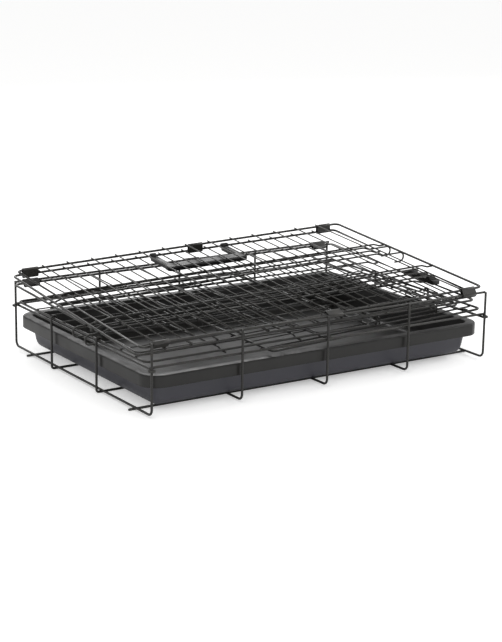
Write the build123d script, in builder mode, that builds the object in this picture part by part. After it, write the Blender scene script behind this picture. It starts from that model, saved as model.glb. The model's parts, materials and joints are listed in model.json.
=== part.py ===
from build123d import *
import math
import os

# Folding wire pet crate, folded flat, with its plastic pan in the base tray.
# Lengths are set out from the front left corner of the base, X along the front
# and Y to the rear. Home then puts the origin on the floor under the middle.

# Wire and sheet
heavy_wire = 3.8
rail_wire = 3.0
grid_wire = 2.2
heavy_sides = 8
light_sides = 6
bend_step = 30  # degrees of a bend that one chord takes
sheet = 1.0
touch = 0.02  # left between two wires that are welded where they cross
turn_clear = 0.35  # round a wire that turns in an eye or a clip

# Base tray
base_length = 622.0
base_width = 441.0
base_height = 107.6  # floor wires to top rails, middle to middle
cross_count = 5
wire_bend = 9.0
end_bend = 4.2
floor_wire_inset = 54.0
end_wire_ys = (155.0, 302.0)
side_rail_z = 77.2
end_hinge_z = 83.2
end_hinge_out = 2.2  # outside the first and last cross wires
floor_stub = 8.0

# Side and top panels
panel_length = 632.0
panel_depth = 401.0
panel_corner = 9.0
panel_wires = 13
panel_pitch = 45.0
wire_stub = 3.0
hinge_stub = 0.5  # shorter where the grid would meet the rail that the panel turns on
rail_stub = 4.0
jog_start = 6.0
jog_end = 18.0

# How the folded panels lie
front_tilt = 4.4
front_roll = -1.25
front_left = -12.0
front_in = 4.3  # front side hinge wire behind the top rail of the base
front_drop = 5.5  # and below it at the left end
top_tilt = 4.85
top_roll = -1.0
top_left = -19.5
top_drop = 7.0  # top panel hinge wire under the front side at the left end
rear_tilt = 2.4
rear_left = -5.0
rear_in = 3.4
rear_drop = 3.4

# Hinge clips
clip_length = 27.0
clip_reach = 8.9
top_clip_reach = 9.9

# Hooks of the top panel
hook_apart = 38.0
hook_out_right = 42.0
hook_out_left = 24.0
hook_radius = 8.0
hook_return = 12.0

# End panels
end_width = 412.0
end_depth = 405.0
end_wires = 9
end_pitch = 45.0
left_end_tilt = 0.2
right_end_tilt = -2.1

# Door in the right end panel
door_low = 30.0
door_side = 30.0
door_width = 250.0
door_height = 268.0
door_lap = 5.0
door_gap = 0.3
door_wires = 5
door_clip_length = 12.0
door_clip_ys = (95.0, 240.0)

# Slide bolts, each over a rail of the door
bolt_ys = (70.0, 185.0)
bolt_length = 78.0
bolt_pull = 15.0
bolt_pull_back = 26.0
bolt_plate = 36.0
bolt_plate_wide = 18.0
bolt_guide = 5.0
bolt_clear = 0.3
keeper_clear = 0.8  # round a bolt in the staple that it is shot into

# Pan
pan_wall = 2.2
pan_length = 626.0
pan_width = 429.0
pan_height = 54.0
pan_corner = 30.0
pan_skirt = 19.0
pan_rim = 13.0
pan_taper = 10.0
pan_edge = 3.0

# Carry handle and side grip
handle_width = 150.0
handle_depth = 58.0
handle_bar = 20.0
handle_thick = 8.4
handle_eye_wide = 9.0
handle_middle = 302.5
grip_length = 80.0
grip_wide = 13.0
grip_middle = 262.0

# Values that follow
wire_r = heavy_wire / 2
cross_z = heavy_wire + wire_r + touch
top_z = cross_z + base_height
rail_y = heavy_wire + touch
over_frame = (heavy_wire + grid_wire) / 2 + touch
rail_in_grid = over_frame - (grid_wire + rail_wire) / 2 - touch
beside_frame = (heavy_wire + rail_wire) / 2 + touch
top_right = top_left + panel_length
middle_x = (top_left - hook_out_left + top_right + hook_out_right) / 2
home = Location((-middle_x, -base_width / 2, 0))


def moved_home(x, y, z, roll, tilt):
    """Return the place of a folded panel: tilted about X, then rolled about Y."""
    return home * Location((x, y, z), (0, roll, 0)) * Location((0, 0, 0), (tilt, 0, 0))


def chords(path):
    """Return points along a path, with each bend drawn as short chords."""
    distances = [0.0]
    for edge in path.order_edges():
        turn = 2 * (edge % 0).get_angle(edge % 0.5)
        steps = max(1, math.ceil(turn / bend_step - 0.01))
        start = distances[-1]
        distances += [start + edge.length * (i + 1) / steps for i in range(steps)]
    return [path.position_at(d, position_mode=PositionMode.LENGTH) for d in distances]


def follow(path, diameter, place):
    """Add one wire along a path, drawn with flats to keep so many wires light."""
    points = chords(path)
    if path.is_closed:
        points = [(points[0] + points[1]) / 2] + points[1:]
    with BuildLine(mode=Mode.PRIVATE) as line:
        Polyline(*points, close=path.is_closed)
    middle = line.wire()
    with BuildSketch(Plane(origin=middle @ 0, z_dir=middle % 0), mode=Mode.PRIVATE) as section:
        RegularPolygon(diameter / 2, heavy_sides if diameter > rail_wire else light_sides)
    add(sweep(section.sketch, path=middle, transition=Transition.RIGHT, mode=Mode.PRIVATE).moved(place))


def straight(start, end, diameter, place=home):
    """Add a straight wire."""
    with BuildLine(mode=Mode.PRIVATE) as path:
        Line(start, end)
    follow(path.wire(), diameter, place)


def bent(points, diameter, bend, place=home, close=False):
    """Add a wire with rounded bends."""
    with BuildLine(mode=Mode.PRIVATE) as path:
        FilletPolyline(*points, radius=bend, close=close)
    follow(path.wire(), diameter, place)


def frame(x0, x1, y0, y1, z, corner, diameter, place):
    """Add a closed frame of one wire."""
    bent([(x0, y0, z), (x1, y0, z), (x1, y1, z), (x0, y1, z)], diameter, corner, place, True)


def jogged_rail(y, length, in_grid, by_frame, place):
    """Add a rail that lies against the grid and steps past the frame at both ends."""
    points = [
        (-rail_stub, y, by_frame),
        (jog_start, y, by_frame),
        (jog_end, y, in_grid),
        (length - jog_end, y, in_grid),
        (length - jog_start, y, by_frame),
        (length + rail_stub, y, by_frame),
    ]
    bent(points, rail_wire, 5.0, place)


def clip(x, pivot_y, pivot_z, reach, length, own_d, place):
    """Add a folded clip round the wire at the place and the pivot wire beside it."""
    apart = math.hypot(pivot_y, pivot_z)
    shift = reach / 2 / apart
    middle = (pivot_y * (1 - shift), pivot_z * (1 - shift))
    bore = own_d + 2 * turn_clear
    turn = math.degrees(math.atan2(pivot_z, pivot_y))
    with BuildSketch(Plane.YZ.offset(x - length / 2), mode=Mode.PRIVATE) as section:
        with Locations(middle):
            SlotCenterToCenter(reach, bore + 2 * sheet, rotation=turn)
            SlotCenterToCenter(reach, bore, rotation=turn, mode=Mode.SUBTRACT)
    add(extrude(section.sketch, amount=length, mode=Mode.PRIVATE).moved(place))


def save(node, name):
    """Write one named node."""
    node.part.label = name
    export_step(node.part, "parts/" + name + ".step")


front_place = moved_home(front_left, rail_y + front_in, top_z - front_drop, front_roll, front_tilt)
front_flat = Location((0, 0, 0), (-front_tilt, 0, 0))
top_hinge = (
    front_place
    * Location((top_left - front_left, panel_depth, 0))
    * front_flat
    * Location((0, 0, -top_drop), (0, top_roll - front_roll, 0))
)
half_turn = Location((panel_length, 0, 0), (0, 0, 180))
top_place = top_hinge * Location((0, 0, 0), (top_tilt, 0, 0)) * half_turn
rear_hinge = home * Location((rear_left, base_width - rail_y - rear_in, top_z - rear_drop))
rear_place = rear_hinge * Location((0, 0, 0), (rear_tilt, 0, 0)) * half_turn
left_end_place = (
    home
    * Location((-end_hinge_out, (base_width + end_width) / 2, end_hinge_z), (0, 0, -90))
    * Location((0, 0, 0), (left_end_tilt, 0, 0))
)
right_end_place = (
    home
    * Location((base_length + end_hinge_out, (base_width - end_width) / 2, end_hinge_z), (0, 0, 90))
    * Location((0, 0, 0), (right_end_tilt, 0, 0))
)
grid_start = (panel_length - panel_pitch * (panel_wires - 1)) / 2
grid_xs = [grid_start + panel_pitch * i for i in range(panel_wires)]
rail_ys = (panel_depth / 3, panel_depth * 2 / 3)

# Base
with BuildPart() as base_cross_wires:
    for i in range(cross_count):
        x = base_length * i / (cross_count - 1)
        top_end = top_z + 1
        points = [(x, 0, top_end), (x, 0, cross_z), (x, base_width, cross_z), (x, base_width, top_end)]
        bent(points, heavy_wire, wire_bend)

with BuildPart() as base_floor_wires:
    for y in (floor_wire_inset, base_width - floor_wire_inset):
        straight((-floor_stub, y, wire_r), (base_length + floor_stub, y, wire_r), heavy_wire)

eye_r = heavy_wire + turn_clear
bend_z = wire_r + end_bend
near_x = -end_hinge_out - eye_r
far_x = base_length - near_x
with BuildPart() as base_end_wires:
    for y in end_wire_ys:
        with BuildLine(mode=Mode.PRIVATE) as end_path:
            CenterArc((near_x + eye_r, end_hinge_z), eye_r, -20, 200)
            Line((near_x, end_hinge_z), (near_x, bend_z))
            CenterArc((near_x + end_bend, bend_z), end_bend, 180, 90)
            Line((near_x + end_bend, wire_r), (far_x - end_bend, wire_r))
            CenterArc((far_x - end_bend, bend_z), end_bend, 270, 90)
            Line((far_x, bend_z), (far_x, end_hinge_z))
            CenterArc((far_x - eye_r, end_hinge_z), eye_r, 0, 200)
        follow(end_path.wire(), heavy_wire, home * Location((0, y, 0), (90, 0, 0)))

with BuildPart() as base_front_rail:
    straight((-wire_r, rail_y, top_z), (base_length + wire_r, rail_y, top_z), heavy_wire)

with BuildPart() as base_rear_rail:
    y = base_width - rail_y
    straight((-wire_r, y, top_z), (base_length + wire_r, y, top_z), heavy_wire)

with BuildPart() as base_side_rails:
    for y in (rail_y, base_width - rail_y):
        straight((-wire_r, y, side_rail_z), (base_length + wire_r, y, side_rail_z), heavy_wire)

end_rail_x = heavy_wire + 10 * touch
end_rail_z = side_rail_z - heavy_wire - touch
with BuildPart() as base_end_rails:
    for corner_x, side in ((0, 1), (base_length, -1)):
        rail_x = corner_x + side * end_rail_x
        with BuildLine(mode=Mode.PRIVATE) as rail_path:
            CenterArc((corner_x, 0), end_rail_x, 90, side * 270)
            Line((rail_x, 0), (rail_x, base_width))
            CenterArc((corner_x, base_width), end_rail_x, 90 - side * 90, side * 270)
        follow(rail_path.wire(), heavy_wire, home * Location((0, 0, end_rail_z)))

# Pan
pan_z = cross_z + wire_r + 3 * touch
pan_plane = Plane(home * Location((base_length / 2, base_width / 2, pan_z)))
body_length = pan_length - 2 * pan_rim
body_width = pan_width - 2 * pan_rim
body_corner = pan_corner - pan_rim + pan_edge
pan_draft = math.degrees(math.atan(pan_taper / (pan_height - pan_wall)))
with BuildPart() as pan:
    with BuildSketch(pan_plane.offset(pan_height - pan_wall)):
        RectangleRounded(body_length, body_width, body_corner)
    extrude(amount=pan_height - pan_wall, dir=(0, 0, -1), taper=pan_draft)
    chamfer(pan.faces().sort_by(Axis.Z)[0].edges(), 1.5 * pan_edge)
    with BuildSketch(pan_plane.offset(pan_height - pan_skirt)):
        RectangleRounded(pan_length, pan_width, pan_corner)
    extrude(amount=pan_skirt)
    fillet(pan.faces().sort_by(Axis.Z)[-1].edges(), pan_edge)
    with BuildSketch(pan_plane.offset(pan_height - pan_skirt)):
        RectangleRounded(pan_length - 2 * pan_wall, pan_width - 2 * pan_wall, pan_corner - pan_wall)
        RectangleRounded(body_length, body_width, body_corner, mode=Mode.SUBTRACT)
    extrude(amount=pan_skirt - pan_wall, mode=Mode.SUBTRACT)
    inner_length = body_length - 2 * pan_wall
    inner_width = body_width - 2 * pan_wall
    with BuildSketch(pan_plane.offset(pan_height)):
        RectangleRounded(inner_length, inner_width, body_corner - pan_wall)
    extrude(amount=pan_height - pan_wall, dir=(0, 0, -1), taper=pan_draft, mode=Mode.SUBTRACT)

# Front side panel, uppermost
with BuildPart() as front_side_frame:
    frame(0, panel_length, 0, panel_depth, 0, panel_corner, heavy_wire, front_place)

with BuildPart() as front_side_rails:
    for y in rail_ys:
        jogged_rail(y, panel_length, rail_in_grid, -beside_frame, front_place)

with BuildPart() as front_side_grid:
    for x in grid_xs:
        straight((x, -hinge_stub, over_frame), (x, panel_depth + wire_stub, over_frame), grid_wire, front_place)

clip_xs = (grid_xs[0] - 16, (grid_xs[6] + grid_xs[7]) / 2, grid_xs[-1] + 16)
front_clip_place = front_place * front_flat
with BuildPart() as front_hinge_clips:
    for x in clip_xs:
        pivot_z = front_drop + x * math.sin(math.radians(front_roll))
        clip(x, -front_in, pivot_z, clip_reach, clip_length, heavy_wire, front_clip_place)

# Top panel, under the front side
with BuildPart() as top_frame:
    frame(0, panel_length, 0, panel_depth, 0, panel_corner, heavy_wire, top_place)

with BuildPart() as top_rails:
    for y in rail_ys:
        jogged_rail(y, panel_length, rail_in_grid, -beside_frame, top_place)

with BuildPart() as top_grid:
    for x in grid_xs:
        straight((x, -wire_stub, over_frame), (x, panel_depth + wire_stub, over_frame), grid_wire, top_place)

hook_root = grid_xs[0] + wire_stub  # where a hook is butt welded to its cross wire
with BuildPart() as top_hook_wires:
    for rail, out, turned in ((0, hook_out_right, False), (1, hook_out_left, True)):
        for shift in (-hook_apart / 2, hook_apart / 2):
            cross_wire = [(panel_length - wire_r - touch, rail_in_grid), (hook_root + touch, rail_in_grid)]
            hook = [
                (hook_root, rail_in_grid),
                (jog_end, rail_in_grid),
                (jog_start, -beside_frame),
                (rail_wire / 2 - out, -beside_frame),
                (rail_wire / 2 - out, -beside_frame - 2 * hook_radius),
                (hook_radius + hook_return - out, -beside_frame - 2 * hook_radius),
            ]
            y = rail_ys[rail] + shift
            ends = [(panel_length - x if turned else x, y, z) for x, z in cross_wire + hook]
            straight(ends[0], ends[1], rail_wire, top_place)
            bent(ends[2:], rail_wire, hook_radius - 0.2, top_place)

top_shift = front_left - top_left
top_clip_xs = [x + top_shift / 2 + 3 * i for x, i in zip(clip_xs, (-1, 0, 1))]
with BuildPart() as top_hinge_clips:
    for x in top_clip_xs:
        pivot_z = top_drop + x * math.sin(math.radians(top_roll - front_roll))
        clip(x, 0, pivot_z, top_clip_reach, clip_length, heavy_wire, top_hinge)

eye_outer = wire_r + turn_clear + 2.4
leg_xs = (handle_middle - handle_width / 2 + 5, handle_middle + handle_width / 2 - 5)
with BuildPart() as handle_shape:
    with BuildSketch(Plane.XY.offset(0.5 - handle_thick)) as handle_outline:
        with Locations((handle_middle, handle_depth)):
            RectangleRounded(handle_width + 6, handle_bar, 8)
        with Locations(*[(x, handle_depth / 2) for x in leg_xs]):
            Rectangle(handle_eye_wide, handle_depth)
    extrude(amount=handle_thick)
    chamfer(handle_shape.faces().sort_by(Axis.Y)[-1].edges().filter_by(Axis.X), 2)
    for x in leg_xs:
        with BuildSketch(Plane.YZ.offset(x - handle_eye_wide / 2)):
            Circle(eye_outer)
        extrude(amount=handle_eye_wide)
    with BuildSketch(Plane.YZ.offset(leg_xs[0] - handle_eye_wide)):
        Circle(wire_r + turn_clear)
    extrude(amount=handle_width + 2 * handle_eye_wide, mode=Mode.SUBTRACT)
with BuildPart() as carry_handle:
    add(handle_shape.part.moved(top_place))

# Rear side panel, under the top panel
with BuildPart() as rear_side_frame:
    frame(0, panel_length, 0, panel_depth, 0, panel_corner, heavy_wire, rear_place)

with BuildPart() as rear_side_rails:
    for y in rail_ys:
        jogged_rail(y, panel_length, rail_in_grid, -beside_frame, rear_place)

with BuildPart() as rear_side_grid:
    for x in grid_xs:
        straight((x, -hinge_stub, over_frame), (x, panel_depth + wire_stub, over_frame), grid_wire, rear_place)

with BuildPart() as rear_hinge_clips:
    for x in clip_xs:
        clip(x, rear_in, rear_drop, clip_reach, clip_length, heavy_wire, rear_hinge)

with BuildPart() as grip_shape:
    with BuildSketch(Plane.YZ.offset(-grip_wide / 2)):
        with Locations((grip_middle, 3.5)):
            RectangleRounded(grip_length, 7, 2)
        with Locations(*[(grip_middle + grip_length * i / 3.3, 6) for i in (-1, 0, 1)]):
            Circle(6)
    extrude(amount=grip_wide)
    with Locations(Location((0, grip_middle, 0), (90, 0, 0))):
        Cylinder(wire_r + touch, 2 * grip_length, mode=Mode.SUBTRACT)
with BuildPart() as rear_side_grip:
    add(grip_shape.part.moved(rear_place))

# End panels, folded in over the pan
end_rail_ys = (end_depth / 3, end_depth * 2 / 3)
end_grid_start = (end_width - end_pitch * (end_wires - 1)) / 2
with BuildPart() as left_end_frame:
    frame(0, end_width, 0, end_depth, 0, panel_corner, heavy_wire, left_end_place)

with BuildPart() as left_end_rails:
    for y in end_rail_ys:
        jogged_rail(y, end_width, rail_in_grid, -beside_frame, left_end_place)

with BuildPart() as left_end_grid:
    for i in range(end_wires):
        x = end_grid_start + end_pitch * i
        straight((x, -wire_stub, over_frame), (x, end_depth + wire_stub, over_frame), grid_wire, left_end_place)

door_x0 = door_side
door_x1 = door_side + door_width
door_y0 = door_low
door_y1 = door_low + door_height
door_pitch = door_width / (door_wires + 1)
door_grid_xs = [door_x0 + door_pitch * (i + 1) for i in range(door_wires)]
with BuildPart() as right_end_frame:
    frame(0, end_width, 0, end_depth, 0, panel_corner, heavy_wire, right_end_place)

jamb_z = -beside_frame
sill_z = jamb_z + rail_wire + touch
with BuildPart() as right_end_rails:
    for y in (door_y0, door_y1):
        jogged_rail(y, end_width, sill_z, beside_frame, right_end_place)

with BuildPart() as right_end_jambs:
    for x in (door_x0, door_x1):
        straight((x, -wire_stub, jamb_z), (x, end_depth + wire_stub, jamb_z), rail_wire, right_end_place)

with BuildPart() as right_end_grid:
    for x in (door_x1 + door_pitch, door_x1 + 2 * door_pitch):
        straight((x, -wire_stub, -over_frame), (x, end_depth + wire_stub, -over_frame), grid_wire, right_end_place)
    for x in door_grid_xs:
        straight((x, -wire_stub, -over_frame), (x, door_y0 + wire_stub, -over_frame), grid_wire, right_end_place)
        straight(
            (x, door_y1 - wire_stub, -over_frame), (x, end_depth + wire_stub, -over_frame), grid_wire, right_end_place
        )

# Door
door_grid_z = sill_z + (rail_wire + grid_wire) / 2 + door_gap
door_z = door_grid_z + (rail_wire + grid_wire) / 2 + touch
lap_x0 = door_x0 - door_lap
lap_x1 = door_x1 + door_lap
lap_y0 = door_y0 - door_lap
lap_y1 = door_y1 + door_lap
with BuildPart() as door_frame:
    frame(lap_x0, lap_x1, lap_y0, lap_y1, door_z, panel_corner, rail_wire, right_end_place)

rail_end = rail_wire / 2 + touch
with BuildPart() as door_rails:
    for y in bolt_ys:
        straight((lap_x0 + rail_end, y, door_z), (lap_x1 - rail_end, y, door_z), rail_wire, right_end_place)

with BuildPart() as door_grid:
    for x in door_grid_xs:
        straight((x, lap_y0 - 1, door_grid_z), (x, lap_y1 + 1, door_grid_z), grid_wire, right_end_place)

door_side_place = right_end_place * Location((lap_x1, 0, door_z), (0, 0, 90))
with BuildPart() as door_hinge_clips:
    for y in door_clip_ys:
        apart = math.hypot(door_lap, door_z - jamb_z)
        clip(y, door_lap, jamb_z - door_z, apart, door_clip_length, rail_wire, door_side_place)

# Slide bolts
plate_z = door_z + rail_wire / 2 + touch
bolt_z = plate_z + sheet + bolt_clear + rail_wire / 2
plate_x = door_x0 + 5
bolt_x = lap_x0 + 1
for_bolts = []
for y in bolt_ys:
    with BuildPart() as bolt_plate_shape:
        with BuildSketch(Plane.XY.offset(plate_z)):
            with Locations((plate_x + bolt_plate / 2, y)):
                RectangleRounded(bolt_plate, bolt_plate_wide, 3)
        extrude(amount=sheet)
        for x in (plate_x, plate_x + bolt_plate - bolt_guide):
            with BuildSketch(Plane.YZ.offset(x)):
                with Locations((y, bolt_z)):
                    Circle(rail_wire / 2 + bolt_clear + sheet)
            extrude(amount=bolt_guide)
        with BuildSketch(Plane.YZ.offset(plate_x - 1)):
            with Locations((y, bolt_z)):
                Circle(rail_wire / 2 + bolt_clear)
        extrude(amount=bolt_plate + 2, mode=Mode.SUBTRACT)
    for_bolts.append(bolt_plate_shape.part.moved(right_end_place))
with BuildPart() as door_bolt_plates:
    add(for_bolts)


def slide_bolt(y):
    """Add one bolt with its flat pull."""
    pull_x = bolt_x + bolt_length
    points = [
        (bolt_x, y, bolt_z),
        (pull_x, y, bolt_z),
        (pull_x, y + bolt_pull, bolt_z),
        (pull_x - bolt_pull_back, y + bolt_pull, bolt_z),
    ]
    bent(points, rail_wire, 4, right_end_place)


with BuildPart() as lower_slide_bolt:
    slide_bolt(bolt_ys[0])

with BuildPart() as upper_slide_bolt:
    slide_bolt(bolt_ys[1])

staple_out = rail_wire / 2 + keeper_clear + grid_wire / 2
with BuildPart() as bolt_keepers:
    for y in bolt_ys:
        foot_z = jamb_z + rail_wire / 2 + touch
        head_z = bolt_z + staple_out
        points = [
            (door_x0, y - staple_out, foot_z),
            (door_x0, y - staple_out, head_z),
            (door_x0, y + staple_out, head_z),
            (door_x0, y + staple_out, foot_z),
        ]
        bent(points, grid_wire, 2, right_end_place)

os.makedirs("parts", exist_ok=True)
nodes = {
    "base_cross_wires": base_cross_wires,
    "base_floor_wires": base_floor_wires,
    "base_end_wires": base_end_wires,
    "base_front_rail": base_front_rail,
    "base_rear_rail": base_rear_rail,
    "base_side_rails": base_side_rails,
    "base_end_rails": base_end_rails,
    "pan": pan,
    "front_side_frame": front_side_frame,
    "front_side_rails": front_side_rails,
    "front_side_grid": front_side_grid,
    "front_hinge_clips": front_hinge_clips,
    "top_frame": top_frame,
    "top_rails": top_rails,
    "top_grid": top_grid,
    "top_hook_wires": top_hook_wires,
    "top_hinge_clips": top_hinge_clips,
    "carry_handle": carry_handle,
    "rear_side_frame": rear_side_frame,
    "rear_side_rails": rear_side_rails,
    "rear_side_grid": rear_side_grid,
    "rear_hinge_clips": rear_hinge_clips,
    "rear_side_grip": rear_side_grip,
    "left_end_frame": left_end_frame,
    "left_end_rails": left_end_rails,
    "left_end_grid": left_end_grid,
    "right_end_frame": right_end_frame,
    "right_end_rails": right_end_rails,
    "right_end_jambs": right_end_jambs,
    "right_end_grid": right_end_grid,
    "door_frame": door_frame,
    "door_rails": door_rails,
    "door_grid": door_grid,
    "door_hinge_clips": door_hinge_clips,
    "door_bolt_plates": door_bolt_plates,
    "lower_slide_bolt": lower_slide_bolt,
    "upper_slide_bolt": upper_slide_bolt,
    "bolt_keepers": bolt_keepers,
}
for name, node in nodes.items():
    save(node, name)
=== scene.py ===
import json
import logging
import math
from dataclasses import dataclass, field
from enum import Enum
from typing import Iterable

import bmesh
import bpy
from mathutils import Matrix, Vector

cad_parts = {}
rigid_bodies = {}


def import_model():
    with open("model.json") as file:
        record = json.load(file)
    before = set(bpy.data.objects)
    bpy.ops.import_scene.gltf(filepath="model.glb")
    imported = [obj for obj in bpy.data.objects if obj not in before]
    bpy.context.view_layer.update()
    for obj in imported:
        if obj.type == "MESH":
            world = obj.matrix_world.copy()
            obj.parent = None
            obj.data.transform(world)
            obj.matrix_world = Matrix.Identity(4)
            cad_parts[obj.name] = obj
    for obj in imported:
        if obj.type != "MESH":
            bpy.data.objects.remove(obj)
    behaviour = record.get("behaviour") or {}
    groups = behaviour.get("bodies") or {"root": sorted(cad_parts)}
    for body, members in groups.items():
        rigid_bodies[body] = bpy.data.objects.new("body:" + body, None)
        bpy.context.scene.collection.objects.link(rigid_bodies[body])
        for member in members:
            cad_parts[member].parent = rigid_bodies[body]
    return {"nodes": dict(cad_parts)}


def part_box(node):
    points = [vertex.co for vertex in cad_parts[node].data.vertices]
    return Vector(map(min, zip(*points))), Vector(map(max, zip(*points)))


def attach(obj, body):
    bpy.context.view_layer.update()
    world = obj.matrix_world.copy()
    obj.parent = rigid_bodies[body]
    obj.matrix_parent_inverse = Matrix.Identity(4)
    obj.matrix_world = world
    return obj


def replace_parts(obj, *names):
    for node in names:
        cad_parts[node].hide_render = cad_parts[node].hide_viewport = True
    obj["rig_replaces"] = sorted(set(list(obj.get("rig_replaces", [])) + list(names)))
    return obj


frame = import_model()

log = logging.getLogger("crate")
MM = 0.001
PHOTO_HEIGHT = 642

Point = tuple[float, float, float]
FlatPoint = tuple[float, float]


class Stock(Enum):
    """Wire diameters of the crate, in millimetres."""

    HEAVY = 3.8
    RAIL = 3.0
    GRID = 2.2

    @property
    def radius(self) -> float:
        """Half the diameter."""
        return self.value / 2


class Tint(Enum):
    """Linear colours of the crate and its surroundings."""

    COATING = (0.0062, 0.006, 0.0052, 1.0)
    COATING_DUSTY = (0.0135, 0.0128, 0.0105, 1.0)
    BARE_STEEL = (0.19, 0.18, 0.165, 1.0)
    PAN = (0.0052, 0.0048, 0.0041, 1.0)
    PAN_PALE = (0.0105, 0.0098, 0.0088, 1.0)
    # Painted reflection: the white floor seen in the pan's glossy lower walls, paler and bluer than the
    # plastic itself
    PAN_FLOOR_REFLECTION = (0.058, 0.058, 0.071, 1.0)
    GRIP = (0.0055, 0.0055, 0.0058, 1.0)
    DUST = (0.16, 0.15, 0.135, 1.0)
    FLOOR = (0.93, 0.93, 0.925, 1.0)


# Sizes that several sub-assemblies share, in millimetres
TOUCH = 0.02
BASE_LENGTH = 622.0
BASE_WIDTH = 441.0
BASE_HEIGHT = 107.6
CROSS_Z = Stock.HEAVY.value + Stock.HEAVY.radius + TOUCH
TOP_Z = CROSS_Z + BASE_HEIGHT
RAIL_Y = Stock.HEAVY.value + TOUCH
MIDDLE_X = 305.5
OVER_FRAME = Stock.HEAVY.radius + Stock.GRID.radius + TOUCH
RAIL_IN_GRID = OVER_FRAME - Stock.GRID.radius - Stock.RAIL.radius - TOUCH
BESIDE_FRAME = Stock.HEAVY.radius + Stock.RAIL.radius + TOUCH
PANEL_LENGTH = 632.0
PANEL_DEPTH = 401.0
END_WIDTH = 412.0
END_DEPTH = 405.0
CORNER = 9.0
RAIL_STUB = 4.0
JOG_START = 6.0
JOG_END = 18.0
SHEET = 1.0
END_HINGE_Z = 83.2
END_HINGE_OUT = 2.2

# How the folded panels lie, in millimetres and degrees
FRONT_LEFT = -12.0
FRONT_IN = 4.3
FRONT_DROP = 5.5
FRONT_ROLL = -1.25
FRONT_TILT = 4.4
TOP_LEFT = -19.5
TOP_DROP = 7.0
TOP_ROLL = -1.0
TOP_TILT = 4.85
REAR_LEFT = -5.0
REAR_IN = 3.4
REAR_DROP = 3.4
REAR_TILT = 2.4
LEFT_TILT = 0.2
RIGHT_TILT = -2.1

# Share of a wire's radius that its cut end is rounded by, and share that stays flat
END_ROUND = 0.3
END_FACE = 0.72


def shift(x: float, y: float, z: float) -> Matrix:
    """Return a move in millimetres."""
    return Matrix.Translation((x, y, z))


def turn(axis: str, degrees: float) -> Matrix:
    """Return a rotation about one axis."""
    return Matrix.Rotation(math.radians(degrees), 4, axis)


HOME = shift(-MIDDLE_X, -BASE_WIDTH / 2, 0)
HALF_TURN = shift(PANEL_LENGTH, 0, 0) @ turn("Z", 180)
FRONT_HINGE = HOME @ shift(FRONT_LEFT, RAIL_Y + FRONT_IN, TOP_Z - FRONT_DROP) @ turn("Y", FRONT_ROLL)
FRONT_PLACE = FRONT_HINGE @ turn("X", FRONT_TILT)
FRONT_REAR_WIRE = FRONT_PLACE @ shift(TOP_LEFT - FRONT_LEFT, PANEL_DEPTH, 0) @ turn("X", -FRONT_TILT)
TOP_HINGE = FRONT_REAR_WIRE @ shift(0, 0, -TOP_DROP) @ turn("Y", TOP_ROLL - FRONT_ROLL)
TOP_PLACE = TOP_HINGE @ turn("X", TOP_TILT) @ HALF_TURN
REAR_HINGE = HOME @ shift(REAR_LEFT, BASE_WIDTH - RAIL_Y - REAR_IN, TOP_Z - REAR_DROP)
REAR_PLACE = REAR_HINGE @ turn("X", REAR_TILT) @ HALF_TURN
LEFT_HINGE = HOME @ shift(-END_HINGE_OUT, (BASE_WIDTH + END_WIDTH) / 2, END_HINGE_Z)
LEFT_PLACE = LEFT_HINGE @ turn("Z", -90) @ turn("X", LEFT_TILT)
RIGHT_HINGE = HOME @ shift(BASE_LENGTH + END_HINGE_OUT, (BASE_WIDTH - END_WIDTH) / 2, END_HINGE_Z)
RIGHT_PLACE = RIGHT_HINGE @ turn("Z", 90) @ turn("X", RIGHT_TILT)


class Graph:
    """A short way to lay out shader nodes in a tree."""

    def __init__(self, tree: bpy.types.NodeTree) -> None:
        """Keep the tree that nodes go into."""
        self.tree = tree

    def add(self, kind: str, settings: dict | None = None, **values: object) -> bpy.types.Node:
        """Add a node.

        Args:
            kind: Blender's name of the node type.
            settings: attributes of the node.
            **values: input socket values or sockets to link, with spaces as underscores.

        Returns:
            The new node.
        """
        node = self.tree.nodes.new(kind)
        for key, value in (settings or {}).items():
            setattr(node, key, value)
        for key, value in values.items():
            self.feed(node.inputs[key.replace("_", " ")], value)
        return node

    def feed(self, socket: bpy.types.NodeSocket, value: object) -> None:
        """Link a socket, or set its value.

        Args:
            socket: the input to feed.
            value: an output socket or a plain value.
        """
        if isinstance(value, bpy.types.NodeSocket):
            self.tree.links.new(value, socket)
        else:
            socket.default_value = value

    def math(
        self, operation: str, first: object, second: object, clamp: bool = False
    ) -> bpy.types.NodeSocket:
        """Add a Math node.

        Args:
            operation: Blender's name of the operation.
            first: the first input.
            second: the second input.
            clamp: keep the result between 0 and 1.

        Returns:
            The result socket.
        """
        node = self.add("ShaderNodeMath", {"operation": operation, "use_clamp": clamp})
        self.feed(node.inputs[0], first)
        self.feed(node.inputs[1], second)
        return node.outputs[0]

    def product(self, *factors: object) -> bpy.types.NodeSocket:
        """Multiply values, with the result kept between 0 and 1.

        Args:
            *factors: the values or sockets, two or more.

        Returns:
            The product.
        """
        made = factors[0]
        for factor in factors[1:]:
            made = self.math("MULTIPLY", made, factor, clamp=True)
        return made

    def mix(self, share: object, first: object, second: object) -> bpy.types.NodeSocket:
        """Mix two colours.

        Args:
            share: how much of the second colour shows.
            first: the colour at 0.
            second: the colour at 1.

        Returns:
            The mixed colour.
        """
        node = self.add("ShaderNodeMix", {"data_type": "RGBA"})
        self.feed(node.inputs[0], share)
        self.feed(node.inputs[6], first)
        self.feed(node.inputs[7], second)
        return node.outputs[2]

    def ramp(
        self, value: object, low: float, high: float, to_low: float = 0.0, to_high: float = 1.0
    ) -> bpy.types.NodeSocket:
        """Map a value's range, clamped.

        Args:
            value: the value to map.
            low: the value that gives to_low.
            high: the value that gives to_high.
            to_low: the result at low.
            to_high: the result at high.

        Returns:
            The mapped value.
        """
        node = self.add("ShaderNodeMapRange", {"clamp": True})
        for socket, part in zip(node.inputs, (value, low, high, to_low, to_high)):
            self.feed(socket, part)
        return node.outputs[0]


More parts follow.
